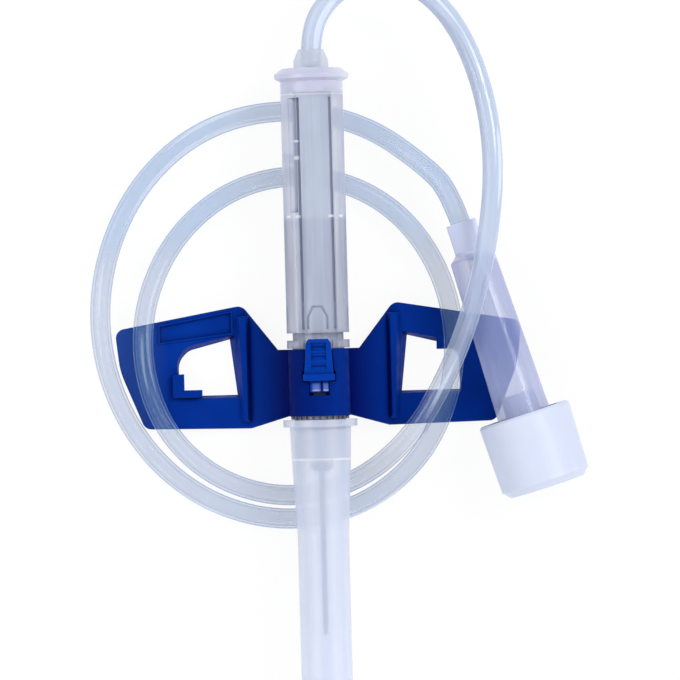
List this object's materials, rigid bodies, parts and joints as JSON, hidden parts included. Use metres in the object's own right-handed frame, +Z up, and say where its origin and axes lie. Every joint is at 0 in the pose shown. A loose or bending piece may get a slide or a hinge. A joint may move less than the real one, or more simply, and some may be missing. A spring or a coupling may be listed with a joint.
{
  "type": "winged infusion set",
  "caption": "Winged infusion set with a needle that slides back into its barrel, needle cover, release tab, windowed wings, coiled tubing and a capped luer connector",
  "frame": {"origin": "on the floor under the middle of the wings' hub, which is the centre of the base without the tubing and the connector", "axes": "+Y runs along the barrel from the needle towards the tubing, +X points to the right wing seen from above, +Z points up"},
  "size_m": [0.0571, 0.0857, 0.012],
  "materials": {
    "clear_barrel": "clear, glossy",
    "clear_cover": "clear, slightly milky",
    "clear_tube": "clear, soft",
    "blue_wings": "semi-gloss",
    "blue_tab": "semi-gloss",
    "lavender_cap": "semi-gloss, slightly translucent",
    "lavender_connector": "tinted, translucent",
    "frosted_cap": "frosted, translucent",
    "needle_steel": "polished"
  },
  "bodies": {
    "set_body": {"wing_body": "blue_wings", "barrel": "clear_barrel", "end_cap": "lavender_cap", "tubing": "clear_tube", "luer_connector": "lavender_connector"},
    "carrier": {"needle_carrier": "clear_barrel", "cannula": "needle_steel"},
    "cover": {"needle_cover": "clear_cover"},
    "tab": {"release_tab": "blue_tab"},
    "connector_cap": {"luer_cap": "frosted_cap"}
  },
  "joints": [
    {"name": "retract", "type": "slide", "parent": "set_body", "child": "carrier", "axis": [0, 1, 0], "range_m": [0, 0.024], "deforming": ["tubing"]},
    {"name": "cover_pull", "type": "slide", "parent": "set_body", "child": "cover", "axis": [0, -1, 0], "range_m": [0, 0.027]},
    {"name": "tab_press", "type": "hinge", "parent": "set_body", "child": "tab", "pos_m": [0, 0.00055, 0.01002], "axis": [-1, 0, 0], "range_deg": [0, 9], "stiffness_Nm_per_rad": 0.002},
    {"name": "cap_pull", "type": "slide", "parent": "set_body", "child": "connector_cap", "axis": [0.2857, -0.9583, 0], "range_m": [0, 0.0085]}
  ]
}
